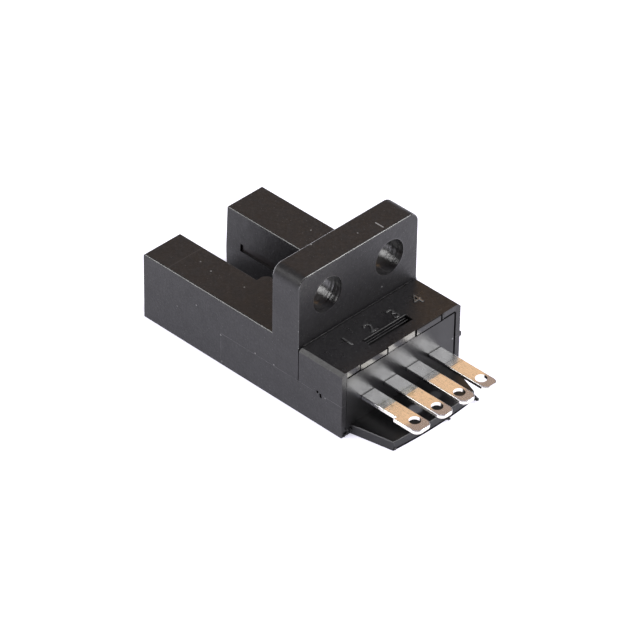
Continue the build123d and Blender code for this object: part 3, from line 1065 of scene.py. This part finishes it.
def numeral_mesh(name, text):
    """The mesh of a raised numeral, lying at the origin in metres."""
    curve = bpy.data.curves.new(name, "FONT")
    curve.body = text
    curve.size = numeral_height * mm
    curve.extrude = numeral_relief * mm
    curve.bevel_depth = numeral_bevel * mm
    curve.bevel_resolution = 3
    curve.offset = -numeral_thinning * mm
    curve.resolution_u = 6
    source = bpy.data.objects.new(name, curve)
    bpy.context.scene.collection.objects.link(source)
    bpy.context.view_layer.update()
    mesh = bpy.data.meshes.new_from_object(source.evaluated_get(bpy.context.evaluated_depsgraph_get()))
    bpy.data.objects.remove(source)
    bpy.data.curves.remove(curve)
    return mesh


def numerals(finish):
    """The numbers 1 to 4 in raised moulded strokes, read from the fork's side."""
    for number, y in enumerate(numeral_ys, start=1):
        name = f"pin_number_{number}"
        mesh = numeral_mesh(name, str(number))
        place = Matrix.Translation(Vector((numeral_x, y, body_top_z)) * mm)
        mesh.transform(place @ Matrix.Rotation(math.pi / 2, 4, "Z"))
        keep_piece(name, mesh, finish)


def corner_flash(finish):
    """Ragged crumbs of flash at the hood's near bottom corner, beside the shelf."""
    draw = random.Random(crumb_seed)
    bm = bmesh.new()
    for index in range(crumb_count):
        y = draw.uniform(near_y + crumb_insets[0], near_y + crumb_insets[1])
        z = draw.uniform(crumb_lowest, crumb_highest + crumb_rise * (y - near_y))
        size = draw.uniform(*crumb_sizes)
        add_crumb(bm, (rear_x + draw.uniform(*crumb_reach), y, z), size, draw)
    keep_piece("corner_flash", mesh_from("corner_flash", bm), finish)


def holder_piece(finish):
    """The terminal holder with the far corner of its shelf cut back and the shelf's upper edges rounded."""
    bm = bmesh.new()
    bm.from_mesh(frame["nodes"]["terminal_holder"].data)
    bmesh.ops.remove_doubles(bm, verts=bm.verts, dist=weld_distance * mm)
    bmesh.ops.scale(bm, vec=[metre_in_mm] * 3, verts=bm.verts)
    bmesh.ops.dissolve_limit(bm, angle_limit=math.radians(flat_angle), verts=bm.verts, edges=bm.edges)
    shelf_start = rear_x + shelf_start_behind
    end = [vert for vert in bm.verts if vert.co.x > shelf_start and vert.co.y > 0]
    for vert in end:
        vert.co.y *= 1 - far_corner_cut / shelf_half * vert.co.y / shelf_half
    rim = [edge for edge in bm.edges
           if all(abs(vert.co.z - shelf_top_z) < height_tolerance for vert in edge.verts)
           and max(vert.co.x for vert in edge.verts) > shelf_start]
    bmesh.ops.bevel(bm, geom=rim, offset=shelf_round, segments=3, profile=0.5, affect="EDGES")
    bmesh.ops.triangulate(bm, faces=bm.faces)
    mesh = mesh_from("holder_block", bm, smooth=False)
    piece = keep_piece("holder_block", mesh, finish)
    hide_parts("terminal_holder")


def gates(finish):
    """Short torn stubs on the end of the shelf."""
    draw = random.Random(stub_seed)
    bm = bmesh.new()
    for y, z, reach, radius in gate_stubs:
        crown = shelf_crown * (y / shelf_half) ** 2
        for part in range(stub_lumps):
            x = shelf_end_x - crown + reach * (part / 2 - stub_start)
            middle = (x, y + draw.uniform(-stub_stray, stub_stray), max(z, radius * stub_room))
            add_crumb(bm, middle, radius * (1 - stub_taper * part), draw)
    keep_piece("gate_stubs", mesh_from("gate_stubs", bm), finish)


def pieces(case, hood, holder):
    """Every piece that the scene adds."""
    torn = torn_plastic()
    holder_piece(holder)
    slot_bead(holder)
    slot_ribs(hood)
    foot_bead(holder)
    numerals(hood)
    corner_flash(torn)
    gates(torn)


# Stage

# The power in watts that gives a square metre of lamp a radiance of 1
lamp_level = math.pi

# The lamps: azimuth and elevation in degrees, distance, width and height in metres, radiance and colour
lamps = {
    "right_box": (46, 37, 0.8, 0.42, 0.36, 7.2, white),
    "left_box": (228, 35, 0.8, 0.42, 0.36, 4.0, white),
    "top_box": (0, 88, 0.9, 0.5, 0.5, 1.5, white),
    "warm_card": (133, 39, 0.8, 0.34, 0.26, 0.82, (1.0, 0.68, 0.42)),
}

# The floor: half its side in metres, its colour, its painted shadow colour under the body, and its glow
floor_half = 6.0
floor_colour = (0.85, 0.85, 0.88)
floor_shade = (0.28, 0.28, 0.30)
floor_glow = (0.96, 0.95, 1.10)
glow_strength = 0.74

# How far past the tips and the rear face the painted shadow under the body fades, and how far inside its
# sides
shade_front = (-1.5, 0.5)
shade_rear = (-1.0, 1.0)
shade_side = 1.5

# The world: white at the horizon, dim and warm above it, pale overhead, each with its height in the sky
horizon_white = (1.0, 1.0, 1.06)
warm_dim = (0.078, 0.056, 0.044)
overhead = (0.6, 0.6, 0.62)
sky_stops = [
    (0.0, horizon_white),
    (0.10, horizon_white),
    (0.28, warm_dim),
    (0.75, warm_dim),
    (0.95, overhead),
]

# The camera: angles in degrees, distance in metres, the point that it aims at, and its lens and sensor
camera_azimuth = 43.94
camera_elevation = 37.22
camera_roll = 0.93
camera_distance = 0.370
camera_aim = Vector((-2.117, 1.155, 2.032)) * mm
camera_lens = 257.9
camera_sensor = 36.0


def direction(azimuth, elevation):
    """A unit vector at an azimuth from +X towards +Y and an elevation above the floor, in degrees."""
    turn, rise = math.radians(azimuth), math.radians(elevation)
    return Vector((math.cos(turn) * math.cos(rise), math.sin(turn) * math.cos(rise), math.sin(rise)))


def softbox(name, azimuth, elevation, away, width, height, radiance, colour):
    """A rectangular lamp that faces the object and shows one even brightness."""
    lamp = bpy.data.lights.new(name, "AREA")
    lamp.shape = "RECTANGLE"
    lamp.size = width
    lamp.size_y = height
    lamp.energy = radiance * width * height * lamp_level
    lamp.color = colour
    made = bpy.data.objects.new(name, lamp)
    bpy.context.scene.collection.objects.link(made)
    place = direction(azimuth, elevation)
    made.location = place * away
    made.rotation_mode = "QUATERNION"
    made.rotation_quaternion = (-place).to_track_quat("-Z", "Y")
    made.visible_camera = False


def floor_finish():
    """White that keeps the object's shadow, glows only where it is seen and has a painted shadow under the
    body.
    """
    finish, tree, shader = material("floor_white")
    at = places(tree)
    # Painted shadow under the body: a darker colour and no glow
    painted_shadow_under_body = both(tree, spread(tree, at.x, tip_x + shade_front[0], tip_x + shade_front[1]),
                 falling(tree, at.x, rear_x + shade_rear[0], rear_x + shade_rear[1]),
                 near(tree, at.y, 0.0, far_y - shade_side, shade_side))
    path = node(tree, "LightPath").outputs
    seen = either(tree, path["Is Camera Ray"], path["Is Glossy Ray"], path["Is Transmission Ray"])
    glow = times(tree, without(tree, seen, painted_shadow_under_body), glow_strength)
    finish_with(tree, shader, Base_Color=blend_colour(tree, painted_shadow_under_body, floor_colour, floor_shade))
    finish_with(tree, shader, Emission_Color=floor_glow, Emission_Strength=glow, Roughness=1.0)
    return finish


def floor():
    """A plain floor in the plane of the body's underside."""
    half = floor_half
    mesh = bpy.data.meshes.new("floor")
    corners = [(-half, -half, 0), (half, -half, 0), (half, half, 0), (-half, half, 0)]
    mesh.from_pydata(corners, [], [(0, 1, 2, 3)])
    made = bpy.data.objects.new("floor", mesh)
    bpy.context.scene.collection.objects.link(made)
    mesh.materials.append(floor_finish())


def world():
    """White near the horizon, dim and warm above it, and pale again overhead."""
    made = bpy.data.worlds.new("studio")
    bpy.context.scene.world = made
    made.use_nodes = True
    tree = made.node_tree
    sky = node(tree, "TexCoord").outputs["Generated"]
    height = node(tree, "SeparateXYZ", {0: sky}).outputs["Z"]
    ramp = node(tree, "ValToRGB", {"Fac": height})
    elements = ramp.color_ramp.elements
    while len(elements) < len(sky_stops):
        elements.new(1.0)
    for element, (position, colour) in zip(elements, sky_stops):
        element.position = position
        element.color = (*colour, 1.0)
    put(tree, tree.nodes["Background"].inputs["Color"], ramp.outputs["Color"])


def camera():
    """The camera at the photograph's place and angle."""
    angles = (camera_azimuth, camera_elevation, camera_roll)
    turn, rise, tilt = (math.radians(angle) for angle in angles)
    back = Vector((math.sin(turn) * math.cos(rise), -math.cos(turn) * math.cos(rise), math.sin(rise)))
    level = Vector((math.cos(turn), math.sin(turn), 0))
    upright = back.cross(level)
    right = level * math.cos(tilt) + upright * math.sin(tilt)
    up = back.cross(right)
    data = bpy.data.cameras.new("camera")
    data.lens = camera_lens
    data.sensor_width = camera_sensor
    data.clip_start = 0.01
    data.clip_end = 20.0
    made = bpy.data.objects.new("camera", data)
    bpy.context.scene.collection.objects.link(made)
    turned = Matrix((right, up, back)).transposed().to_4x4()
    made.matrix_world = Matrix.Translation(camera_aim + back * camera_distance) @ turned
    bpy.context.scene.camera = made


def stage():
    """The floor, world, camera and lamps."""
    bpy.context.scene.view_settings.view_transform = "Standard"
    floor()
    world()
    camera()
    for name, settings in lamps.items():
        softbox(name, *settings)


case_finish = case_plastic()
hood_finish = hood_plastic()
holder_finish = holder_plastic()
dress_nodes(case_finish, hood_finish, holder_finish)
pieces(case_finish, hood_finish, holder_finish)
stage()
